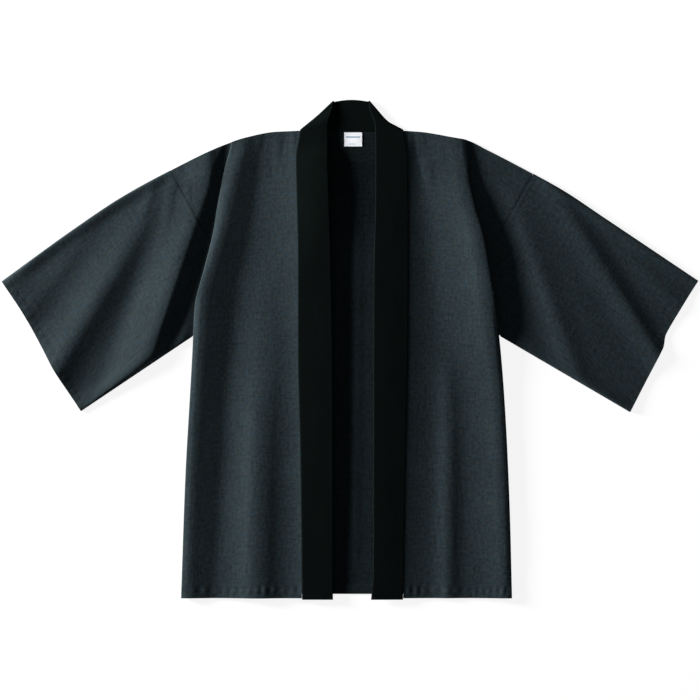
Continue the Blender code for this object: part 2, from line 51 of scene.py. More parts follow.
# Driving dimensions
CLOTH = 0.9  # thickness of the cotton
BAND = 2.2  # thickness of the folded collar band
BAND_WIDTH = 57.0  # on average
SEAM_GAP = 0.3
HEM_Y = -447.2
BACK_HEM_Y = -439.8
BACK_NECK_Y = 393.9
COLLAR_TOP_Y = 449.1
COLLAR_END_Y = -449.6
LABEL_WIDTH, LABEL_HEIGHT = 32.0, 25.2
LABEL_X, LABEL_Y = 5.7, 378.0
LABEL_THICKNESS = 0.5
SLEEVE_LENGTH = 400.0  # from armhole to cuff, rounded: it places what lies near them
HEM_DEPTH = 17.0  # from the hem's edge up to its stitch line
BACK_HEM_DEPTH = 15.0
CUFF_DEPTH = 15.0
WEAR_RUN = 2.5  # how far from a hem's edge the cloth is rubbed paler
THREAD_LIFT = 0.05  # of a stitch over the cloth's face
SHARP = math.radians(60)  # the least angle that is shaded as an edge

# Levels of the middle of the cloth, from the floor up
FLOOR_Z = CLOTH / 2
LOW_Z = 2.1
COVER_GAP = 1.5  # between the front and the pleat's cloth below it
PLEAT_TOP_Z = LOW_Z + 1.4
PLEAT_Z = LOW_Z + 1.6

# The fronts' outer edge and armhole pleat
ROLL_HALF = 6.0  # from the crest of the roll out to the front's edge
ROLL_DROP = 0.6  # from the roll's top down to where it turns under
UNDER_V = 0.445  # share of the front's length down to where the pleat's cloth ends
UNDER_END = UNDER_V + 0.02  # where the front has come down again
COVER_REACH = 18.0  # how far inside the pleat's fold the front starts to rise over it
COVER_RUN = 16.0  # and over what distance it rises

# How much of a fold's slope is rounded, at its crest and at its foot
CREST_TOP = 0.2
RIDGE_TOP, RIDGE_FOOT = 0.3, 0.7
FOLD_TOP = 0.2
ROLL_TOP, ROLL_FOOT = 0.45, 0.45

# The sleeves' folded edges
SLEEVE_WIDTH = 272.0
EDGE_PUFF = 2.95  # rise of the front layer next to a folded edge
EDGE_PUFF_AT_SEAM = 0.35
EDGE_PUFF_RUN = 14.0
SETTLE_RUN = 34.0  # a fold that meets a sleeve edge comes down over this
SEAM_CORNER = 0.8  # share of the sleeve's width where the armhole seam turns to the underarm
SEAM_DIP_RUN = 2.2

CORNER_RADIUS = 1.65  # of the band's fold at each neck corner

Mark = namedtuple("Mark", "out y")
FrontRow = namedtuple("FrontRow", "y edge crest inset")  # its fold's level, and how far inside
WidthRow = namedtuple("WidthRow", "y width")
FoldRow = namedtuple("FoldRow", "y out height inner outer")  # inner and outer half width
SleeveFold = namedtuple("SleeveFold", "out_a y_a out_b y_b high_a high_mid high_b inner outer foot")
CuffRow = namedtuple("CuffRow", "share inward")
BandRow = namedtuple("BandRow", "y outer inner seam_z free_z")
Corner = namedtuple("Corner", "low high bow knee")
Crease = namedtuple("Crease", "out_a y_a out_b y_b bend height inner outer fade_a fade_b")
Stitch = namedtuple("Stitch", "length gap radius")
Sheet = namedtuple("Sheet", "width length area rests_on")  # the flat cut, metres


def table(kind, *rows):
    """Rows of one kind, out of plain tuples."""
    return [kind(*row) for row in rows]


RIGHT = dict(
    sign=-1,
    sleeve_dip=0.55,
    front_dip=0.1,
    shoulder=table(Mark, (90.0, 393.3), (135.0, 391.5), (189.0, 380.7), (219.6, 370.5),
                   (246.6, 359.1), (322.6, 322.0), (412.2, 272.7), (493.2, 218.7), (626.4, 122.4)),
    shoulder_point=Mark(322.6, 322.0),
    pleat_top=Mark(219.6, 370.5),
    pleat_fold=table(Mark, (196.0, 378.6), (222.0, 166.1), (268.6, 4.0)),
    seam_end=Mark(235.0, 167.5),
    underarm=Mark(282.6, 24.3),
    cuff_bottom=Mark(484.2, -110.7),
    cuff=table(CuffRow, (0, 0), (0.25, 3.0), (0.5, 0.0), (0.7, -3.2), (1, 0)),
    arm_v=0.25,
    crest_foot=0.3,
    front=table(FrontRow, (393.3, 208.0, 5.0, 20), (362.7, 214.5, 6.2, 21), (323.1, 226.0, 7.8, 21),
                (269.1, 237.0, 8.8, 19), (215.1, 246.6, 10.0, 16), (161.1, 261.0, 10.8, 14),
                (89.1, 279.0, 11.8, 12), (13.5, 282.6, 11.2, 11), (-83.7, 288.0, 10.4, 10),
                (-213.3, 295.2, 9.8, 10), (-447.2, 303.3, 8.0, 10)),
    edge_slope=table(WidthRow, (360, 42), (300, 54), (215, 64), (161, 70), (80, 78), (35, 76),
                     (-90, 68), (-180, 67), (-446, 58)),
    collar_slope=table(WidthRow, (393, 44), (330, 64), (250, 78), (150, 84), (60, 84), (-446, 84)),
    collar_power=table(WidthRow, (393, 2), (150, 2), (0, 2.5), (-446, 2.5)),
    ridge=table(FoldRow, (170, 146, 0, 60, 60), (89, 150, 2.0, 70, 64), (-20, 152, 4.5, 76, 72),
                (-90, 158, 6.5, 80, 72), (-180, 163, 8.3, 84, 66), (-270, 165, 9.0, 84, 70),
                (-446, 168, 8.6, 84, 76)),
    sleeve_folds=table(SleeveFold, (244, 335, 363, -25, 4.6, 11.2, 12.2, 36, 80, 0.35),
                       (334, 290, 536, -50, 2, 6.4, 8.2, 62, 70, 0.6),
                       (452, 235, 582, 62, 0.5, 1.2, 1.6, 40, 46, 0.6),
                       (652, 170, 590, 40, 5.4, 4.4, 0.8, 92, 60, 0.4)),
    band=table(BandRow, (447.0, 89.7, 31.0, 4.4, 6.4), (430.0, 89.7, 39.4, 4.4, 9.0),
               (412.0, 89.7, 40.0, 4.4, 8.0), (394.0, 89.7, 40.0, 4.4, 6.4),
               (376.0, 92.5, 40.0, 5.4, 6.8), (344.0, 97.0, 40.0, 7.2, 13.0),
               (290.0, 95.9, 38.5, 9.0, 15.0), (161.1, 93.3, 34.5, 9.2, 11.4),
               (13.5, 93.3, 31.5, 8.8, 10.4), (-200.0, 88.8, 30.6, 8.4, 9.6),
               (COLLAR_END_Y, 86.1, 30.6, 7.2, 7.8)),
    corner=Corner(Mark(89.7, 394.2), Mark(29.5, 447.0), 2.0, 0.5),
    creases=table(Crease, (127, 398, 130, 318, 1, 0.6, 9, 13, 0.3, 0.6),
                  (100, 398, 103, 340, 0, 0.5, 7, 10, 0.3, 0.6),
                  (158, 396, 164, 346, 1, 0.4, 8, 10, 0.3, 0.6)),
    sleeve_creases=table(Crease, (315, 316, 338, 190, 0, 0.8, 12, 16, 0.25, 0.6),
                         (350, 300, 378, 226, 0, 0.7, 12, 16, 0.3, 0.6),
                         (292, 304, 284, 240, 2, 0.45, 8, 10, 0.3, 0.5),
                         (257, 372, 255, 280, 0, 2.6, 20, 46, 0.2, 0.4)),
)

LEFT = dict(
    sign=1,
    sleeve_dip=0.05,
    front_dip=0.2,
    shoulder=table(Mark, (96.5, 393.3), (126.0, 391.5), (189.0, 380.7), (208.8, 377.1),
                   (246.6, 359.1), (329.4, 315.9), (387.0, 283.5), (451.8, 240.3), (626.4, 123.3)),
    shoulder_point=Mark(329.4, 315.9),
    pleat_top=Mark(208.8, 377.1),
    pleat_fold=table(Mark, (190.0, 380.5), (214.0, 129.8), (256.0, 4.0)),
    seam_end=Mark(225.7, 132.3),
    underarm=Mark(270.0, 24.3),
    cuff_bottom=Mark(504.0, -112.5),
    cuff=table(CuffRow, (0, 0), (0.2, 5.0), (0.4, 8.0), (0.52, 0.5), (1, 0)),
    arm_v=0.30,
    crest_foot=0.8,
    front=table(FrontRow, (393.3, 207.0, 6.4, 12), (362.7, 210.5, 7.8, 10), (323.1, 212.0, 9.4, 7),
                (269.1, 222.0, 13.8, 7), (215.1, 239.0, 17.0, 7), (161.1, 249.0, 18.2, 7),
                (89.1, 261.0, 18.2, 9), (13.5, 270.0, 15.6, 10), (-62.1, 276.2, 11.4, 9),
                (-159.3, 281.8, 10.0, 9), (-300.0, 287.3, 9.8, 9), (-447.2, 290.8, 8.2, 9)),
    edge_slope=table(WidthRow, (393, 100), (350, 96), (269, 106), (161, 116), (89, 118), (-20, 98),
                     (-90, 80), (-446, 72)),
    collar_slope=table(WidthRow, (393, 16), (350, 20), (300, 32), (180, 52), (0, 58), (-446, 54)),
    collar_power=table(WidthRow, (393, 1.7), (-446, 1.5)),
    ridge=table(FoldRow, (0, 176, 0, 34, 34), (-90, 177, 1.7, 36, 38), (-200, 178, 2.7, 36, 38),
                (-300, 178, 3.1, 36, 37), (-446, 177, 3.0, 35, 37)),
    sleeve_folds=table(SleeveFold, (300, 262, 392, -30, 1.0, 3.4, 3.6, 46, 190, 0.5),
                       (308, 240, 402, -22, 1.0, 1.8, 2.2, 32, 40, 0.6),
                       (384, 262, 546, 2, 2.2, 4.0, 4.8, 48, 36, 0.6),
                       (478, 205, 588, 82, 0.3, 1.2, 1.6, 34, 44, 0.6)),
    band=table(BandRow, (447.4, 96.2, 35.0, 4.4, 4.4), (415.0, 96.2, 43.6, 4.4, 4.4),
               (393.9, 96.2, 45.4, 4.4, 4.6), (362.7, 101.7, 45.9, 5.2, 6.0),
               (250.0, 105.0, 45.4, 6.6, 8.2), (161.1, 105.0, 42.8, 7.4, 9.2),
               (13.5, 104.2, 42.0, 7.6, 9.6), (-200.0, 99.6, 41.8, 7.4, 9.4),
               (-400.0, 96.2, 41.6, 6.8, 8.6), (COLLAR_END_Y, 95.1, 37.8, 6.4, 8.0)),
    corner=Corner(Mark(96.2, 394.2), Mark(34.0, 447.4), 10.0, 0.29),
    creases=table(Crease, (134, 352, 150, 262, 0, 0.5, 16, 13, 0.3, 0.5),
                  (107, 398, 110, 336, 1, 0.45, 6, 9, 0.2, 0.6),
                  (124, 396, 132, 350, 1, 0.3, 8, 10, 0.2, 0.6),
                  (122, 334, 180, 343, 2, 0.5, 11, 16, 0.3, 0.3)),
    sleeve_creases=[],
)

BODY_STITCH = Stitch(2.8, 1.4, 0.2)
LABEL_STITCH = Stitch(1.6, 0.9, 0.12)

# Soft creases on the inside of the back, seen in the front opening; out is x here
BACK_CREASES = table(Crease, (14, 300, 9, -420, 3, 0.5, 9, 13, 0.2, 0.1),
                     (-12, 60, -4, -400, -2, 0.35, 8, 8, 0.3, 0.2))


# Curves and waves, all on arrays

def smooth(share):
    share = np.clip(share, 0.0, 1.0)
    return share * share * (3.0 - 2.0 * share)


def bump(share):
    """One soft wave: 1 in the middle, 0 with no slope at 1 and beyond."""
    return np.where(np.abs(share) < 1, (1 - share * share) ** 2, 0.0)


def incline(share, top, foot):
    """A slope from 1 down to 0 at a share of 1, straight but rounded over its top and foot."""
    share = np.clip(np.abs(share), 0, 1)
    steep = 1 / (1 - (top + foot) / 2)
    at_top = 1 - steep * share ** 2 / (2 * top)
    straight = 1 - steep * (share - top / 2)
    at_foot = steep * (1 - share) ** 2 / (2 * foot)
    return np.where(share < top, at_top, np.where(share > 1 - foot, at_foot, straight))


def read(rows, key, column, x):
    """The named column of a table at x, by a monotone cubic through its rows."""
    rows = sorted(rows, key=lambda row: getattr(row, key))
    xs = np.array([getattr(row, key) for row in rows], float)
    ys = np.array([getattr(row, column) for row in rows], float)
    x = np.clip(x, xs[0], xs[-1])
    steps = np.diff(xs)
    rises = np.diff(ys) / steps
    before, after = rises[:-1], rises[1:]
    total = np.where(before + after == 0, 1.0, before + after)
    slopes = np.concatenate([rises[:1], np.where(before * after > 0, 2 * before * after / total, 0),
                             rises[-1:]])
    k = np.clip(np.searchsorted(xs, x, side="right") - 1, 0, len(xs) - 2)
    t = (x - xs[k]) / steps[k]
    return ((1 + 2 * t) * (1 - t) ** 2 * ys[k] + t * (1 - t) ** 2 * steps[k] * slopes[k]
            + t * t * (3 - 2 * t) * ys[k + 1] + t * t * (t - 1) * steps[k] * slopes[k + 1])


def at(side, table, column, y):
    """The named column of one of a side's tables at y."""
    return read(side[table], "y", column, y)


def between(a, b, share):
    return a[0] + (b[0] - a[0]) * share, a[1] + (b[1] - a[1]) * share


def from_line(line, out, y):
    """Places along a fold or crease, 0 to 1, and across it in mm."""
    run = (line.out_b - line.out_a, line.y_b - line.y_a)
    length = math.hypot(*run)
    along = ((out - line.out_a) * run[0] + (y - line.y_a) * run[1]) / length ** 2
    across = ((out - line.out_a) * -run[1] + (y - line.y_a) * run[0]) / length
    return along, across


def creases_height(creases, out, y):
    """Height of soft ridges (and, where negative, troughs) over each point."""
    total = np.zeros(np.broadcast(out, y).shape)
    for crease in creases:
        along, across = from_line(crease, out, y)
        across = across - crease.bend * 4 * along * (1 - along)
        width = np.where(across > 0, crease.outer, crease.inner)
        ends = smooth(along / crease.fade_a) * smooth((1 - along) / crease.fade_b)
        total += crease.height * ends * bump(across / width)
    return total


# The coat's form

def shoulder_y(side, out):
    return read(side["shoulder"], "out", "y", out)


def front_share(side, y):
    """How far down the front's outer edge y lies: 0 at the shoulder line, 1 at the hem."""
    top = side["pleat_top"].y
    return (top - y) / (top - HEM_Y)


def fold_out_at(side, y):
    marks = side["pleat_fold"]
    return np.interp(-y, [-m.y for m in marks], [m.out for m in marks])


def under_share(v):
    run = 0.06
    return smooth((UNDER_END - v) / run)


def under_level(v):
    """Middle of the cloth that runs back under the front's edge."""
    deepening, settling = 0.05, 0.39
    high = PLEAT_TOP_Z + (PLEAT_Z - PLEAT_TOP_Z) * smooth(v / deepening)
    return high + (LOW_Z - high) * smooth((v - settling) / (UNDER_END - settling))


def sleeve_folds_height(folds, out, y):
    start_run = 0.22
    total = np.zeros(np.broadcast(out, y).shape)
    for fold in folds:
        along, across = from_line(fold, out, y)
        width = np.where(across > 0, fold.outer, fold.inner)
        stations = table(Mark, (0, fold.high_a), (0.5, fold.high_mid), (1, fold.high_b))
        peak = read(stations, "out", "y", along) * smooth(1.0 + along / start_run)
        total += peak * incline(across / width, FOLD_TOP, fold.foot)
    return total


def low_height(side, out, y):
    """Rise of the lower cloth (sleeve and the front's lowest layer) over LOW_Z."""
    clearance, run = 3.0, 18.0
    edge = at(side, "front", "edge", y)
    clear_of_front = smooth((out - edge - clearance) / run)
    return sleeve_folds_height(side["sleeve_folds"], out, y) * clear_of_front


def hem_relief(from_hem, along, depth, seed):
    """Thicker turned-up cloth at a hem, its sunk stitch line and small puckers along it."""
    step, step_run, past_stitches = 0.2, 3.0, 2.0
    groove, groove_width = 0.16, 1.3
    pucker, pucker_length, pucker_reach, below_stitches = 0.62, 2.4, 7.5, 3.0
    far_shift, near_shift, least = 2.6, 1.9, 0.4
    turned = step * smooth((depth + past_stitches - from_hem) / step_run)
    sunk = -groove * np.exp(-((from_hem - depth) / groove_width) ** 2)
    # Four longer waves (length, share of the seed) keep any two stretches from being alike
    waves = ((61.0, 1.0), (23.0, 2.0), (47.0, 1.7), (17.0, 1.0))
    far, near, slow, quick = (np.sin(along / length + turn * seed) for length, turn in waves)
    phase = far_shift * far + near_shift * near
    swell = least + (1 - least) * slow ** 2 * quick ** 2
    puckers = pucker * swell * np.sin(along / pucker_length + phase)
    reach = np.exp(-((from_hem - depth + below_stitches) / pucker_reach) ** 2)
    return turned + sunk + puckers * reach


def main_height(side, out, y):
    """Middle of the front cloth between the collar and the roll along its outer edge."""
    crest_share, edge_fade, blend = 1.5, 12.0, 0.6

    # The long fold along the outer edge
    edge, inset = at(side, "front", "edge", y), at(side, "front", "inset", y)
    past_crest = out - (edge - inset)
    outside = incline(past_crest / (crest_share * inset + ROLL_HALF), ROLL_TOP, ROLL_FOOT)
    slope_share = past_crest / at(side, "edge_slope", "width", y)
    inside = incline(slope_share, CREST_TOP, side["crest_foot"])
    crest = at(side, "front", "crest", y)
    height = LOW_Z + (crest - LOW_Z) * np.where(past_crest > 0, outside, inside)

    # The rise to the collar's seam, the ridge between the two, creases and hem
    from_collar = (out - at(side, "band", "outer", y)) / at(side, "collar_slope", "width", y)
    power = at(side, "collar_power", "width", y)
    height += (at(side, "band", "seam_z", y) - LOW_Z) * np.clip(1 - from_collar, 0, 1) ** power
    middle = at(side, "ridge", "out", y)
    width = np.where(out > middle, at(side, "ridge", "outer", y), at(side, "ridge", "inner", y))
    ridge = incline((out - middle) / width, RIDGE_TOP, RIDGE_FOOT)
    height += at(side, "ridge", "height", y) * ridge
    height += creases_height(side["creases"], out, y)
    relief = hem_relief(y - HEM_Y, out, HEM_DEPTH, side["sign"])
    height += relief * smooth((edge - out) / edge_fade)

    # Over the pleat the cloth lies on the layer below it
    v = front_share(side, y)
    over_pleat = smooth((out - fold_out_at(side, y) + COVER_REACH) / COVER_RUN) * under_share(v)
    cover = LOW_Z + (under_level(v) + COVER_GAP - LOW_Z) * over_pleat
    short = cover - height
    return height + (short + np.hypot(short, blend)) / 2


def half_turn(steps):
    """Angles from straight up to straight down, without the first."""
    return [math.pi / 2 - math.pi * k / steps for k in range(1, steps + 1)]


# Grids of points, in mm

def surface(x, y, z):
    return np.stack(np.broadcast_arrays(x, y, z), axis=-1)


def placed(side, out, y, z):
    return surface(side["sign"] * out, y, z)


def stretches(*spans):
    """One rising array out of (start, end, steps) spans."""
    parts = [np.linspace(a, b, steps, endpoint=False) for a, b, steps in spans]
    return np.concatenate(parts + [[spans[-1][1]]])


def cloth_uv(grid, ring=False):
    """Cloth coordinates in mm: the length along its row and down its column to each point.

    There is one more column than in grid where ring joins the last column to the first.
    """
    rows, columns = grid.shape[:2]
    closed = np.concatenate([grid, grid[:, :1]], axis=1) if ring else grid
    across = np.linalg.norm(np.diff(closed, axis=1), axis=2)
    u = np.concatenate([np.zeros((rows, 1)), np.cumsum(across, axis=1)], axis=1)
    down = np.linalg.norm(np.diff(closed, axis=0), axis=2)
    v = np.concatenate([np.zeros((1, closed.shape[1])), np.cumsum(down, axis=0)], axis=0)
    return np.stack([u, v], axis=-1)


# Shells and stitches

def unit(vectors):
    return vectors / np.maximum(np.linalg.norm(vectors, axis=-1, keepdims=True), 1e-9)


def add(name, data):
    thing = bpy.data.objects.new(name, data)
    bpy.context.scene.collection.objects.link(thing)
    return thing


def new_piece(name, points, faces, material, face_uv=None, wear_and_shade=None):
    """A smooth object out of points and face_uv (mm), with its faces turned outwards."""
    mesh = bpy.data.meshes.new(name)
    mesh.from_pydata((points * MM).tolist(), [], faces)
    if face_uv is not None:
        layer = mesh.uv_layers.new(name="cloth")
        layer.data.foreach_set("uv", (face_uv * MM).astype(np.float32).ravel())
    bm = bmesh.new()
    bm.from_mesh(mesh)
    bmesh.ops.recalc_face_normals(bm, faces=bm.faces)
    bm.to_mesh(mesh)
    bm.free()
    if wear_and_shade is not None:
        # the point attribute: paler wear where it is over 0, painted shade where it is under 0
        layer = mesh.attributes.new("wear_and_shade", "FLOAT", "POINT")
        layer.data.foreach_set("value", wear_and_shade.astype(np.float32))
    mesh.shade_smooth()
    mesh.materials.append(material)
    return add(name, mesh)


def shell(name, grid, thickness, material, cells=None, ring=False, square=(), wear_and_shade=None):
    """A closed shell round the surface `grid` (rows and columns of points, mm).

    cells marks the cells that are built. square lists (rows, columns, direction): there the
    shell's end stays at right angles to direction. wear_and_shade holds, for each point, how much
    its colour is rubbed paler, or, where it is negative, how much painted shade darkens it.
    """
    rows, columns = grid.shape[:2]
    if cells is None:
        cells = np.ones((rows - 1, columns if ring else columns - 1), bool)
    r, c = np.nonzero(cells)
    corners = [(r, c), (r, c + 1), (r + 1, c + 1), (r + 1, c)]
    quads = np.stack([i * columns + j % columns for i, j in corners], axis=1)
    points = grid.reshape(-1, 3)
    cross = np.cross(points[quads[:, 2]] - points[quads[:, 0]],
                     points[quads[:, 3]] - points[quads[:, 1]])
    normals = np.zeros_like(points)
    for k in range(4):
        np.add.at(normals, quads[:, k], unit(cross))
    normals = normals.reshape(grid.shape)
    for some_rows, some_columns, direction in square:
        axis = unit(np.array(direction, float))
        picked = normals[some_rows, some_columns]
        normals[some_rows, some_columns] = picked - axis * (picked @ axis)[..., None]
    normals = unit(normals)
    offset = normals * np.broadcast_to(np.asarray(thickness)[..., None], grid.shape) / 2
    count = rows * columns
    both = np.concatenate([(grid + offset).reshape(-1, 3), (grid - offset).reshape(-1, 3)])

    ends = quads[:, [1, 2, 3, 0]]
    forward = (quads * count + ends).ravel()
    backward = (ends * count + quads).ravel()
    open_edges = forward[~np.isin(forward, backward)]
    first, second = open_edges // count, open_edges % count
    sides = np.stack([second, first, first + count, second + count], axis=1)
    faces = np.concatenate([quads, quads[:, ::-1] + count, sides])

    uv = cloth_uv(grid, ring)
    corner_uv = np.stack([uv[i, j] for i, j in corners], axis=1)
    flat_uv = uv[:, :columns].reshape(-1, 2)
    side_uv = flat_uv[sides % count]
    face_uv = np.concatenate([corner_uv, corner_uv[:, ::-1], side_uv]).reshape(-1, 2)

    used, packed = np.unique(faces, return_inverse=True)
    if wear_and_shade is not None:
        wear_and_shade = np.tile(np.broadcast_to(wear_and_shade, (rows, columns)).ravel(), 2)[used]
    piece = new_piece(name, both[used], packed.reshape(faces.shape).tolist(), material, face_uv,
                      wear_and_shade)
    piece.data.set_sharp_from_angle(angle=SHARP)
    return piece


def stitches(name, paths, stitch, material):
    """Rows of thread stitches along paths of points (mm) that lie on the cloth's face."""
    sides, rings = 4, ((0.0, 0.15), (0.2, 0.9), (0.5, 1.0), (0.8, 0.9), (1.0, 0.15))
    sunk = 0.7  # share of the thread's radius below the path
    length, gap, radius = stitch
    points, faces = [], []
    for path in paths:
        steps = np.linalg.norm(np.diff(path, axis=0), axis=1)
        reached = np.concatenate([[0], np.cumsum(steps)])
        count = int(reached[-1] // (length + gap))
        for k in range(count):
            start = (k + 0.5) * reached[-1] / count - length / 2
            begin, finish = (np.array([np.interp(place, reached, path[:, axis])
                                       for axis in range(3)])
                             for place in (start, start + length))
            along = unit(finish - begin)
            across = unit(np.cross(along, (0, 0, 1)))
            upward = np.cross(across, along)
            base = len(points)
            for share, size in rings:
                centre = begin + (finish - begin) * share + upward * radius * (size - sunk)
                for side in range(sides):
                    turn = 2 * math.pi * (side + 0.5) / sides
                    points.append(centre + radius * size * (across * math.cos(turn)
                                                            + upward * math.sin(turn)))
            for ring in range(len(rings) - 1):
                for side in range(sides):
                    a, b = base + ring * sides + side, base + ring * sides + (side + 1) % sides
                    faces.append((a, b, b + sides, a + sides))
            last = base + (len(rings) - 1) * sides
            faces.append(tuple(range(base, base + sides))[::-1])
            faces.append(tuple(range(last, last + sides)))
    return new_piece(name, np.array(points), faces, material)


# Fronts

def front_grid(side, v):
    """The front's cloth as sections: main cloth, edge roll, pleat back to the armhole seam."""
    columns, roll_steps, under_columns, turn_steps, low_columns = 84, 10, 8, 6, 44
    most_tilt = 0.6
    v = v[:, None]
    edge_y = side["pleat_top"].y + (HEM_Y - side["pleat_top"].y) * v
    edge = at(side, "front", "edge", edge_y)
    crest_out = edge - ROLL_HALF
    seam_top_y = shoulder_y(side, side["band"][0].outer)
    start = at(side, "band", "outer", seam_top_y + (HEM_Y - seam_top_y) * v) + SEAM_GAP

    # The main cloth, from the collar to the crest of its edge
    share = np.linspace(0, 1, columns)[None, :]
    out = start + (crest_out - start) * share
    y = shoulder_y(side, out) + (HEM_Y - shoulder_y(side, out)) * v
    parts = [placed(side, out, y, main_height(side, out, y))]
    crest_y, crest_z = y[:, -1:], parts[0][:, -1:, 2]

    # The roll that turns it under
    under_z = under_level(v)
    upper = np.minimum((crest_z - under_z) / 2, ROLL_DROP)
    slope = (parts[0][:, -1:, 2] - parts[0][:, -2:-1, 2]) / (out[:, -1:] - out[:, -2:-1])
    tilt = np.clip(slope * ROLL_HALF, -most_tilt * (crest_z - under_z - upper), 0)
    turn_z = crest_z + tilt - upper
    angle = np.array(half_turn(roll_steps))[None, :]
    out = crest_out + ROLL_HALF * np.cos(angle)
    y = crest_y + (shoulder_y(side, out) - shoulder_y(side, crest_out)) * (1 - v) ** 2
    rounded = crest_z + tilt * np.cos(angle) - upper * (1 - np.sin(angle))
    tucked = turn_z + (turn_z - under_z) * np.sin(angle)
    parts.append(placed(side, out, y, np.where(angle > 0, rounded, tucked)))

    # The pleat's upper cloth, back to its fold
    top, corner, end = side["pleat_fold"]
    upper = between(top, corner, v / side["arm_v"])
    lower = between(corner, end, np.clip((v - side["arm_v"]) / (UNDER_V - side["arm_v"]), 0, 1))
    fold_out = np.where(v <= side["arm_v"], upper[0], lower[0])
    fold_y = np.where(v <= side["arm_v"], upper[1], lower[1])
    share = np.linspace(0, 1, under_columns + 1)[None, 1:]
    out, y = between((crest_out, crest_y), (fold_out, fold_y), share)
    parts.append(placed(side, out, y, under_z))
    turn = (under_z - LOW_Z) / 2
    angle = np.array(half_turn(turn_steps))[None, :]
    parts.append(placed(side, fold_out - turn * np.cos(angle), fold_y,
                        LOW_Z + turn + turn * np.sin(angle)))

    # The lowest cloth, from the pleat's fold out to the armhole seam
    arm_share = np.clip(v / side["arm_v"], 0, 1)
    seam_out, seam_y = between(side["shoulder_point"], side["seam_end"], arm_share)
    share = np.linspace(0, 1, low_columns + 1)[None, 1:]
    out, y = between((fold_out, fold_y), (seam_out - SEAM_GAP / 2, seam_y), share)
    top_out, chord_y = between(top, side["shoulder_point"], share)
    y = y + (shoulder_y(side, top_out) - chord_y) * (1 - arm_share) ** 3
    z = LOW_Z + low_height(side, out, y) + creases_height(side["sleeve_creases"], out, y)
    z = z - side["front_dip"] * np.exp(-((seam_out - out) / SEAM_DIP_RUN) ** 2)
    parts.append(placed(side, out, y, z))
    return np.concatenate(parts, axis=1), [part.shape[1] for part in parts]


def build_front(name, side, material):
    shoulder_v, hem_v, nudge = 0.06, 0.965, 1e-9
    v = stretches((0, shoulder_v, 26), (shoulder_v, side["arm_v"], 76),
                  (side["arm_v"], UNDER_V, 56), (UNDER_V, hem_v, 165), (hem_v, 1.0, 22))
    grid, counts = front_grid(side, v)
    main_and_roll, with_under = sum(counts[:2]), sum(counts[:3])
    cells = np.ones((grid.shape[0] - 1, grid.shape[1] - 1), bool)
    cells[v[:-1] >= side["arm_v"] - nudge, with_under - 1:] = False
    cells[v[:-1] >= UNDER_V - nudge, main_and_roll - 1:] = False
    at_arm = np.nonzero(v <= side["arm_v"] + nudge)[0]
    square = [(slice(None), 0, (1, 0, 0)), (at_arm, -1, (1, 0, 0)), (0, slice(None), (0, 1, 0))]
    wear_and_shade = np.exp(-(grid[:, :, 1] - HEM_Y) / WEAR_RUN)
    return shell(name, grid, CLOTH, material, cells, square=square, wear_and_shade=wear_and_shade)


def front_paths(side):
    """Stitch lines of a front: along its hem and beside its armhole seam."""
    inside, beside, clear, below_shoulder = 9.0, 3.0, 2.0, 0.02
    lift = CLOTH / 2 + THREAD_LIFT
    y = HEM_Y + HEM_DEPTH
    band, edge = at(side, "band", "outer", y), at(side, "front", "edge", y)
    out = np.linspace(band + clear, edge - inside, 120)
    hem = placed(side, out, y, main_height(side, out, y) + lift)
    seam_out, seam_y = between(side["shoulder_point"], side["seam_end"],
                               np.linspace(below_shoulder, 1, 80))
    seam_out = seam_out - beside
    shown = seam_out > at(side, "front", "edge", seam_y) + clear
    out, y = seam_out[shown], seam_y[shown]
    level = LOW_Z + low_height(side, out, y) + creases_height(side["sleeve_creases"], out, y)
    return [hem, placed(side, out, y, level + lift)]


# Sleeves

def sleeve_point(side, front, across, along):
    """Plan position on a sleeve: across 0 at its top fold, along 0 at the armhole."""
    point, end, under = side["shoulder_point"], side["seam_end"], side["underarm"]
    if front:
        upper = between(point, end, across / SEAM_CORNER)
        lower = between(end, under, (across - SEAM_CORNER) / (1 - SEAM_CORNER))
        inner = [np.where(across < SEAM_CORNER, a, b) for a, b in zip(upper, lower)]
    else:
        inner = between(point, under, across)
    tip = side["shoulder"][-1]
    cuff = between(tip, side["cuff_bottom"], across)
    inward = read(side["cuff"], "share", "inward", across)
    out, y = between((inner[0] + SEAM_GAP, inner[1]), (cuff[0] - inward, cuff[1]), along)
    chord_out, chord_y = between(point, tip, along)
    return out, y + (1 - across) * (shoulder_y(side, chord_out) - chord_y)


def sleeve_puff(along):
    """Rise of the cloth next to the sleeve's folded edges: least at the seam and the cuff."""
    seam_run, cuff_run, at_cuff = 0.12, 0.2, 0.55
    puff = EDGE_PUFF_AT_SEAM + (EDGE_PUFF - EDGE_PUFF_AT_SEAM) * smooth(along / seam_run)
    return puff * (1 - (1 - at_cuff) * smooth((along - 1 + cuff_run) / cuff_run))


def sleeve_front(side, across, along):
    """Points of the sleeve's front layer."""
    turning, turning_run, turning_step, at_cuff = 11.0, 3.0, 0.15, 0.5
    from_seam = along * SLEEVE_LENGTH
    puff = sleeve_puff(along)
    radius = (LOW_Z + puff - FLOOR_Z) / 2
    out, y = sleeve_point(side, True, across, along)
    from_edge = np.minimum(across, 1 - across) * SLEEVE_WIDTH
    near_edge = np.clip(1 - from_edge / SETTLE_RUN, 0, 1)
    settled = np.sqrt(1 - near_edge ** 2)
    rise = low_height(side, out, y) + creases_height(side["sleeve_creases"], out, y)
    rise = rise + turning_step * smooth((turning - from_seam) / turning_run)
    rise = rise - side["sleeve_dip"] * np.exp(-(from_seam / SEAM_DIP_RUN) ** 2)
    relief = hem_relief((1 - along) * SLEEVE_LENGTH, across * SLEEVE_WIDTH, CUFF_DEPTH,
                        seed=2.0 + side["sign"])
    rise = rise + at_cuff * relief
    rise = rise * settled + puff * np.exp(-((from_edge - radius) / EDGE_PUFF_RUN) ** 2)
    return placed(side, out, y, LOW_Z + rise)


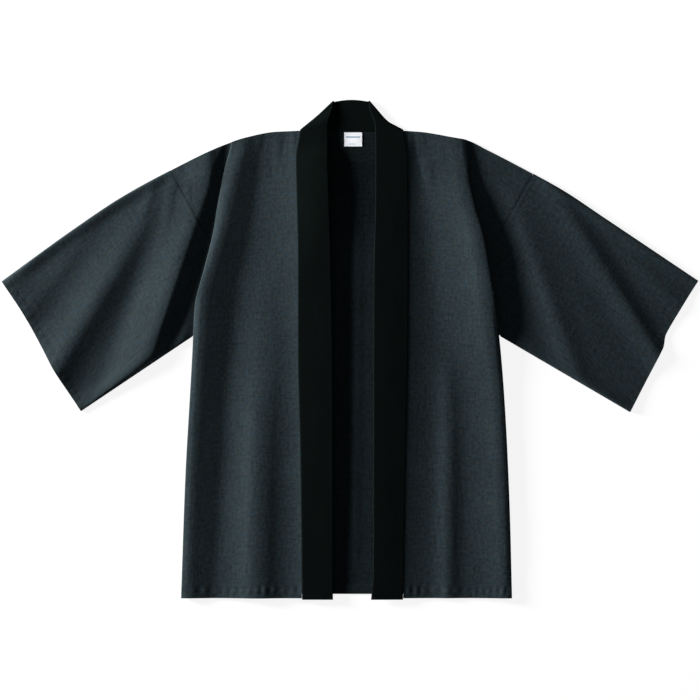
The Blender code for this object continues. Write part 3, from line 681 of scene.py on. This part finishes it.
def sleeve_grid(side, along):
    """The sleeve as closed rings: front layer, lower fold, back layer, upper fold."""
    front_columns, back_columns, turn_steps, even_share = 110, 46, 10, 0.65
    along = along[:, None]
    radius = (LOW_Z + sleeve_puff(along) - FLOOR_Z) / 2
    margin = radius / SLEEVE_WIDTH
    spread = (1 - np.cos(np.linspace(0, math.pi, front_columns))) / 2
    even = np.linspace(0, 1, front_columns)
    share = ((1 - even_share) * spread + even_share * even)[None, :]
    front = sleeve_front(side, margin + (1 - 2 * margin) * share, along)

    def fold(angle, across):
        both = zip(sleeve_point(side, True, across, along),
                   sleeve_point(side, False, across, along))
        out, y = (np.where(angle > 0, a, b) for a, b in both)
        return placed(side, out, y, FLOOR_Z + radius + radius * np.sin(angle))

    down = np.array(half_turn(turn_steps)[:-1])[None, :]
    up = down[:, ::-1]
    lower = fold(down, 1 - margin + margin * np.cos(down))
    upper = fold(up, margin - margin * np.cos(up))
    across = 1 - margin - (1 - 2 * margin) * np.linspace(0, 1, back_columns)[None, :]
    back = placed(side, *sleeve_point(side, False, across, along), FLOOR_Z)
    return np.concatenate([front, lower, back, upper], axis=1)


def sleeve_paths(side):
    """The stitch line round the front of the cuff."""
    inset = 0.02
    across = np.linspace(inset, 1 - inset, 160)
    path = sleeve_front(side, across, np.full_like(across, 1 - CUFF_DEPTH / SLEEVE_LENGTH))
    return [path + (0, 0, CLOTH / 2 + THREAD_LIFT)]


def build_sleeve(name, side, material):
    cuff_share = 0.94
    along = stretches((0, cuff_share, 140), (cuff_share, 1.0, 16))
    grid = sleeve_grid(side, along)
    point, end = side["shoulder_point"], side["seam_end"]
    off_seam = (side["sign"] * (point.y - end.y), point.out - end.out, 0)
    wear_and_shade = np.exp(-(1 - along[:, None]) * SLEEVE_LENGTH / WEAR_RUN)
    square = [(0, slice(None), off_seam)]
    return shell(name, grid, CLOTH, material, ring=True, square=square, wear_and_shade=wear_and_shade)


# Collar

def band_leg(side, rows, columns):
    """Half of the collar's middle surface, from its end up to the neck corner."""
    corner_run, least_run, knee_top, knee_foot = 0.05, 0.1, 0.25, 0.05
    share = rows[:, None]
    across = columns[None, :]
    low, high, bow, knee = side["corner"]
    corner_out, corner_y = between(low, high, across)
    from_knee = np.where(across < knee, (knee - across) / knee, (across - knee) / (1 - knee))
    corner_out = corner_out - bow * incline(from_knee, knee_top, knee_foot)
    y = COLLAR_END_Y + (corner_y - COLLAR_END_Y) * share
    outer, inner, seam_z, free_z = (at(side, "band", column, y)
                                    for column in ("outer", "inner", "seam_z", "free_z"))
    out = outer + (inner - outer) * across
    run = corner_run * np.maximum(across, least_run)
    to_corner = smooth((share - 1 + run) / run)
    out = out + (corner_out - out) * to_corner
    z = seam_z + (free_z - seam_z) * np.sin(across * math.pi / 2)
    z = z + (BAND / 2 + 2 * CORNER_RADIUS - z) * to_corner
    return surface(out, y, z)


def half_band(side, rows, columns):
    """One leg of the collar with its fold under at the neck corner."""
    corner_steps = 10
    leg = band_leg(side, rows, columns)
    low, high = side["corner"].low, side["corner"].high
    length = math.dist(low, high)
    outward = np.array([(high.y - low.y) / length, (low.out - high.out) / length])
    middle_z = BAND / 2 + CORNER_RADIUS
    hinge = leg[-1, :, :2] - outward * CORNER_RADIUS
    turned = []
    for angle in [math.pi / 2] + half_turn(corner_steps):
        place = hinge + outward * CORNER_RADIUS * math.cos(angle)
        level = np.full((len(columns), 1), middle_z + CORNER_RADIUS * math.sin(angle))
        turned.append(np.concatenate([place, level], axis=1))
    grid = np.concatenate([leg[:-1], np.array(turned)])
    return grid * np.array([side["sign"], 1, 1])


def build_collar(name, material):
    neck_steps, edge_share, end_share, corner_share = 26, 0.04, 0.02, 0.9
    roundest, wear_run = 0.93, 1.4
    rows = stretches((0, end_share, 8), (end_share, corner_share, 196), (corner_share, 1.0, 30))
    columns = stretches((0, edge_share, 3), (edge_share, 1 - edge_share, 22),
                        (1 - edge_share, 1.0, 3))
    right, left = (half_band(side, rows, columns) for side in (RIGHT, LEFT))
    shares = np.linspace(0, 1, neck_steps + 1)[1:-1, None, None]
    neck = right[-1] + (left[-1] - right[-1]) * shares
    rise = COLLAR_TOP_Y - right[-1, -1, 1]
    neck[:, :, 1] += rise * np.sin(math.pi * shares[..., 0]) * columns
    grid = np.concatenate([right, neck, left[::-1]])
    from_edge = np.minimum(columns, 1 - columns) * BAND_WIDTH
    rounding = np.sqrt(1 - np.clip(1 - from_edge / (BAND / 2), 0, roundest) ** 2)
    thickness = np.broadcast_to(BAND * rounding[None, :], grid.shape[:2])
    seams = np.r_[0:len(rows) - 1, len(grid) - len(rows) + 1:len(grid)]
    square = [(seams, 0, (1, 0, 0))]
    wear_and_shade = np.exp(-(from_edge / wear_run) ** 2)
    return shell(name, grid, thickness, material, square=square, wear_and_shade=wear_and_shade)


# Back and label

def back_edges(y):
    """The back panel's left and right edge at y, just inside the fronts and sleeves."""
    inset = 0.5
    edges = []
    for side in (RIGHT, LEFT):
        under, point = side["underarm"], side["shoulder_point"]
        arm = np.interp(y, [under.y, point.y], [under.out, point.out])
        marks = sorted(side["shoulder"], key=lambda m: m.y)
        top = np.interp(y, [m.y for m in marks], [m.out for m in marks])
        half = np.where(y < under.y, at(side, "front", "edge", y), arm)
        half = np.where(y > point.y, np.minimum(top, arm), half) - inset
        edges.append(side["sign"] * half)
    return edges


def back_thickness(x, y):
    """The back lies flat below, so what rises on it is thickness: hem, stitch line, creases."""
    step, step_run, past_stitches, groove, groove_width = 0.7, 1.6, 2.7, 0.3, 1.1
    above_stitches = y - BACK_HEM_Y - BACK_HEM_DEPTH
    hem = step * smooth((past_stitches - above_stitches) / step_run)
    sunk = groove * np.exp(-(above_stitches / groove_width) ** 2)
    return CLOTH + hem - sunk + creases_height(BACK_CREASES, x, y)


def build_back(name, material):
    hem_top, arm_top, columns = BACK_HEM_Y + 26.0, 316.0, 220
    y = stretches((BACK_HEM_Y, hem_top, 26), (hem_top, arm_top, 150),
                  (arm_top, BACK_NECK_Y, 40))[:, None]
    right, left = back_edges(y)
    x = right + (left - right) * np.linspace(0, 1, columns)[None, :]
    thickness = back_thickness(x, y)
    grid = surface(x, y, thickness / 2)
    painted_shade, shade_from, shade_run = 0.5, 170.0, 160.0  # painted shade: the inside is darkened towards the neck, where the collar shades it
    # painted shade: the attribute goes below 0 towards the neck, which darkens the inside there
    wear_and_shade = np.exp(-(y - BACK_HEM_Y) / WEAR_RUN) - painted_shade * smooth((y - shade_from) / shade_run)
    return shell(name, grid, thickness, material, wear_and_shade=wear_and_shade)


def back_path():
    """The stitch line of the back's hem, where the front opening shows it."""
    half_width = 60.0
    x = np.linspace(-half_width, half_width, 40)
    y = BACK_HEM_Y + BACK_HEM_DEPTH
    return surface(x, y, back_thickness(x, y) + THREAD_LIFT)


def label_points(x, y):
    """Middle of the label at x and y from its centre: it waves a little on the back."""
    lowest, wave, length_x, length_y, shift = 1.3, 0.15, 6.0, 8.0, 0.6
    rise = wave * (1 + np.sin(x / length_x + shift) * np.cos(y / length_y))
    return surface(LABEL_X + x, LABEL_Y + y, lowest + rise)


def build_label(name, material):
    x = np.linspace(-1, 1, 41)[None, :] * LABEL_WIDTH / 2
    y = np.linspace(-1, 1, 33)[:, None] * LABEL_HEIGHT / 2
    grid = label_points(x, y)
    return shell(name, grid, LABEL_THICKNESS, material)


def label_paths():
    """The stitch lines that hold the label along its four edges."""
    inset, thread_lift, share = 0.9, 0.03, np.linspace(-1, 1, 30)
    half_x, half_y = LABEL_WIDTH / 2 - inset, LABEL_HEIGHT / 2 - inset
    lift = (0, 0, LABEL_THICKNESS / 2 + thread_lift)
    return ([label_points(share * half_x, end * half_y) + lift for end in (-1, 1)]
            + [label_points(end * half_x, share * half_y) + lift for end in (-1, 1)])


# Materials

HUE_SWING = (1.1, 0.0, -0.6)  # how far red, green and blue follow the dye's unevenness
Bar = namedtuple("Bar", "u v half_u half_v depth")  # woven into the label, metres from its corner
LABEL_BARS = (Bar(0.0158, 0.0168, 0.0128, 0.0016, 1.0), Bar(0.0140, 0.0044, 0.0062, 0.0011, 0.5))


def new_material(name, colour, roughness):
    material = bpy.data.materials.new(name)
    material.use_nodes = True
    shader = material.node_tree.nodes["Principled BSDF"]
    shader.inputs["Base Color"].default_value = (*colour, 1.0)
    shader.inputs["Roughness"].default_value = roughness
    return material, shader


class Cloth:
    """Nodes of one woven cloth, laid out by its own thread coordinates (`cloth`, metres)."""

    def __init__(self, name, colour, roughness, specular, gloss=(1, 1, 1)):
        self.material, self.shader = new_material(name, colour, roughness)
        self.tree = self.material.node_tree
        self.shader.inputs["Specular IOR Level"].default_value = specular
        self.shader.inputs["Specular Tint"].default_value = (*gloss, 1.0)
        self.colour, self.roughness = colour, roughness
        self.tone = self.height = None
        self.threads = self.node("ShaderNodeUVMap")
        self.threads.uv_map = "cloth"

    def node(self, kind, **settings):
        node = self.tree.nodes.new(kind)
        for key, value in settings.items():
            setattr(node, key, value)
        return node

    def link(self, source, socket):
        self.tree.links.new(source, socket)

    def math(self, operation, *values):
        node = self.node("ShaderNodeMath", operation=operation)
        for socket, value in zip(node.inputs, values):
            if isinstance(value, (int, float)):
                socket.default_value = value
            else:
                self.link(value, socket)
        return node.outputs[0]

    def scaled(self, across, down, shift=0):
        """The thread coordinates, scaled; shift picks another layer of the noise."""
        mapping = self.node("ShaderNodeMapping")
        mapping.inputs["Scale"].default_value = (across, down, 1)
        mapping.inputs["Location"].default_value = (0, 0, shift)
        self.link(self.threads.outputs["UV"], mapping.inputs["Vector"])
        return mapping.outputs["Vector"]

    def split(self, vector):
        parts = self.node("ShaderNodeSeparateXYZ")
        self.link(vector, parts.inputs[0])
        return parts.outputs

    def patches(self, warp, weft, detail, seed):
        """Uneven patches of `warp` by `weft` metres, around 0."""
        noise = self.node("ShaderNodeTexNoise")
        noise.inputs["Scale"].default_value = 1.0
        noise.inputs["Detail"].default_value = detail
        self.link(self.scaled(1 / warp, 1 / weft, seed), noise.inputs["Vector"])
        return self.math("SUBTRACT", noise.outputs["Fac"], 0.5)

    def ribs(self, pitch, lean):
        """Threads `pitch` metres apart, from -1 to 1; lean is their slope across u and v."""
        parts = self.split(self.scaled(*lean))
        total = self.math("ADD", parts[0], parts[1])
        return self.math("SINE", self.math("MULTIPLY", total, 2 * math.pi / pitch))

    def bar(self, bar):
        """`depth` inside a woven bar, and 0 outside it."""
        parts = self.split(self.threads.outputs["UV"])
        across = self.math("COMPARE", parts[0], bar.u, bar.half_u)
        up = self.math("COMPARE", parts[1], bar.v, bar.half_v)
        return self.math("MULTIPLY", self.math("MULTIPLY", across, up), bar.depth)

    def rubbed_and_shaded(self, worn, seed):
        """Paler, patchily, where the mesh's `wear_and_shade` is over 0, which is wear; darker where
        it is under 0, which is painted shade.
        """
        wear_and_shade = self.node("ShaderNodeAttribute", attribute_name="wear_and_shade").outputs["Fac"]
        contrast, middle = 2.0, 0.7
        patchy = self.patches(0.004, 0.012, 3, seed)
        patchy = self.math("MULTIPLY_ADD", patchy, contrast, middle)
        self.tint(worn, self.math("MULTIPLY", self.math("MAXIMUM", wear_and_shade, 0.0), patchy))
        # painted shade: the colour is darker where the attribute is under 0
        self.tint(1.0, self.math("MINIMUM", wear_and_shade, 0.0))

    def tint(self, share, source):
        """The colour gets paler by share where source is 1."""
        self.tone = self.math("MULTIPLY_ADD", source, share, self.tone or 1.0)

    def mark(self, share, millimetres, source):
        """Where source is 1, the colour is paler by share and the cloth stands higher."""
        self.tint(share, source)
        self.height = self.math("MULTIPLY_ADD", source, millimetres, self.height or 0.0)

    def finish(self, rough_source=None, rough_share=0.0, hue_source=None):
        scale = self.node("ShaderNodeVectorMath", operation="SCALE")
        scale.inputs[0].default_value = self.colour
        if hue_source is not None:
            hue = self.node("ShaderNodeVectorMath", operation="MULTIPLY")
            swing = self.node("ShaderNodeCombineXYZ")
            for socket, share in zip(swing.inputs, HUE_SWING):
                self.link(self.math("MULTIPLY_ADD", hue_source, share, 1.0), socket)
            hue.inputs[0].default_value = self.colour
            self.link(swing.outputs[0], hue.inputs[1])
            self.link(hue.outputs[0], scale.inputs[0])
        self.link(self.tone, scale.inputs["Scale"])
        self.link(scale.outputs[0], self.shader.inputs["Base Color"])
        bumps = self.node("ShaderNodeBump")
        bumps.inputs["Strength"].default_value = 1.0
        bumps.inputs["Distance"].default_value = MM
        self.link(self.height, bumps.inputs["Height"])
        self.link(bumps.outputs["Normal"], self.shader.inputs["Normal"])
        if rough_source is not None:
            rough = self.math("MULTIPLY_ADD", rough_source, rough_share, self.roughness)
            self.link(rough, self.shader.inputs["Roughness"])
        return self.material


def slub_cotton(name, colour, roughness, specular, seed, worn):
    """Plain-woven cotton of uneven yarns, dyed unevenly and rubbed paler at folds and hems."""
    pitch, yarn, slub = 0.0007, 0.0009, 0.045
    cloth = Cloth(name, colour, roughness, specular, gloss=(0.70, 0.97, 1.0))
    weave = cloth.math("MULTIPLY", cloth.ribs(pitch, (1, 0)), cloth.ribs(pitch, (0, 1)))
    grain = cloth.patches(0.006, 0.006, 3, seed + 3)
    cloth.mark(0.10, 0.010, weave)
    cloth.mark(1.7, 0.060, cloth.patches(yarn, slub, 2, seed + 1))  # warp
    cloth.mark(1.45, 0.050, cloth.patches(slub, yarn, 2, seed + 2))  # weft
    cloth.mark(2.0, 0.260, grain)
    cloth.tint(0.5, cloth.patches(0.05, 0.07, 2, seed + 4))  # uneven dye
    # wear at the hems, and painted shade where the mesh's attribute is under 0
    cloth.rubbed_and_shaded(worn, seed + 5)
    return cloth.finish(grain, 0.25, cloth.patches(0.009, 0.009, 2, seed + 6))


def twill_band(name, colour, roughness, specular):
    """The collar's finer, denser twill."""
    pitch, slub, worn = 0.0008, 0.030, 1.2
    cloth = Cloth(name, colour, roughness, specular, gloss=(0.75, 1.0, 0.95))
    grain = cloth.patches(0.007, 0.007, 3, 22)
    cloth.tint(0.7, cloth.patches(0.03, 0.09, 2, 23))
    cloth.rubbed_and_shaded(worn, 24)
    cloth.mark(0.15, 0.012, cloth.ribs(pitch, (1, 0.6)))
    cloth.mark(0.5, 0.04, cloth.patches(pitch, slub, 2, 21))
    cloth.mark(0.6, 0.14, grain)
    return cloth.finish(grain, 0.2)


def label_damask(name, colour, roughness, specular):
    """Satin-woven label ground: fine cross ribs, and two plain blue-grey bars."""
    cloth = Cloth(name, colour, roughness, specular)
    bars = cloth.math("ADD", *(cloth.bar(bar) for bar in LABEL_BARS))
    cloth.mark(0.03, 0.006, cloth.ribs(0.0005, (0, 1)))
    cloth.mark(0.10, 0.01, cloth.patches(0.006, 0.0004, 2, 31))
    cloth.mark(-0.5, 0.03, bars)
    return cloth.finish(hue_source=cloth.math("MULTIPLY", bars, -0.25))


def thread(name, colour, roughness):
    material, shader = new_material(name, colour, roughness)
    shader.inputs["Specular IOR Level"].default_value = 0.25
    return material


def build_stage():
    half, drop = 14.0, 0.0002  # half width, and how far below the coat it lies
    floor, shader = new_material("floor_paper", (0.13, 0.13, 0.13), 0.9)
    shader.inputs["Emission Color"].default_value = (1, 1, 1, 1)
    shader.inputs["Emission Strength"].default_value = 0.88
    shader.inputs["Specular IOR Level"].default_value = 0.1
    mesh = bpy.data.meshes.new("floor")
    mesh.from_pydata([(-half, -half, 0), (half, -half, 0), (half, half, 0), (-half, half, 0)],
                     [], [(0, 1, 2, 3)])
    mesh.materials.append(floor)
    plane = add("floor", mesh)
    plane.location.z = -drop


def build_lights():
    distance, elevation, azimuth = 6.0, math.radians(11.5), math.radians(163)
    lamp = bpy.data.lights.new("key", "AREA")
    lamp.shape = "DISK"
    lamp.size = 1.4
    lamp.energy = 1800
    key = add("key", lamp)
    key.visible_camera = False
    key.location = (distance * math.cos(elevation) * math.cos(azimuth),
                    distance * math.cos(elevation) * math.sin(azimuth),
                    distance * math.sin(elevation))
    key.rotation_euler = (-key.location).to_track_quat("-Z", "Y").to_euler()
    world = bpy.data.worlds.new("studio")
    world.use_nodes = True
    world.node_tree.nodes["Background"].inputs["Color"].default_value = (1, 1, 1, 1)
    world.node_tree.nodes["Background"].inputs["Strength"].default_value = 0.155
    bpy.context.scene.world = world


def build_camera():
    frame_width, distance, sensor, centre_y = 1.26, 4.2, 36.0, -0.0009
    data = bpy.data.cameras.new("camera")
    data.sensor_width = sensor
    data.lens = sensor * distance / frame_width
    camera = add("camera", data)
    camera.location = (0.0, centre_y, distance)
    bpy.context.scene.camera = camera


def main():
    scene = bpy.context.scene
    scene.view_settings.view_transform = "Standard"
    body = slub_cotton("charcoal_slub_cotton", (0.0095, 0.0144, 0.0177), roughness=0.75,
                       specular=0.17, seed=0, worn=0.35)
    # painted shade, partly: the back's inside is a darker, duller copy of the body cloth; its wrong
    # side is duller, and the rest of its darkness stands in for the shade in the front opening
    inner = slub_cotton("charcoal_cotton_inside_painted_shade", (0.0052, 0.0082, 0.0103), roughness=0.8,
                        specular=0.08, seed=10, worn=0.3)
    band = twill_band("black_collar_twill", (0.0015, 0.0025, 0.0024), roughness=0.9,
                      specular=0.03)
    satin = label_damask("white_label_satin", (0.75, 0.76, 0.80), roughness=0.6, specular=0.3)
    sewing = thread("charcoal_sewing_thread", (0.0055, 0.0085, 0.0100), roughness=0.8)
    white_sewing = thread("white_sewing_thread", (0.70, 0.71, 0.75), roughness=0.7)
    sewn = {"label": (LABEL_STITCH, white_sewing)}

    sides = (("right", RIGHT), ("left", LEFT))
    pieces = {"back": (build_back("back_panel", inner), [back_path()])}
    for name, side in sides:
        front = build_front(f"front_{name}_panel", side, body)
        pieces[f"front_{name}"] = (front, front_paths(side))
    for name, side in sides:
        sleeve = build_sleeve(f"sleeve_{name}_panel", side, body)
        pieces[f"sleeve_{name}"] = (sleeve, sleeve_paths(side))
    pieces["collar"] = (build_collar("collar_band", band), [])
    pieces["label"] = (build_label("neck_label", satin), label_paths())
    for node, (piece, paths) in pieces.items():
        rows = []
        if paths:
            stitch, cotton = sewn.get(node, (BODY_STITCH, sewing))
            rows.append(stitches(f"{node}_stitches", paths, stitch, cotton))
        for part in [piece, *rows]:
            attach(part, "root")
        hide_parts(node)
    build_stage()
    build_lights()
    build_camera()


main()
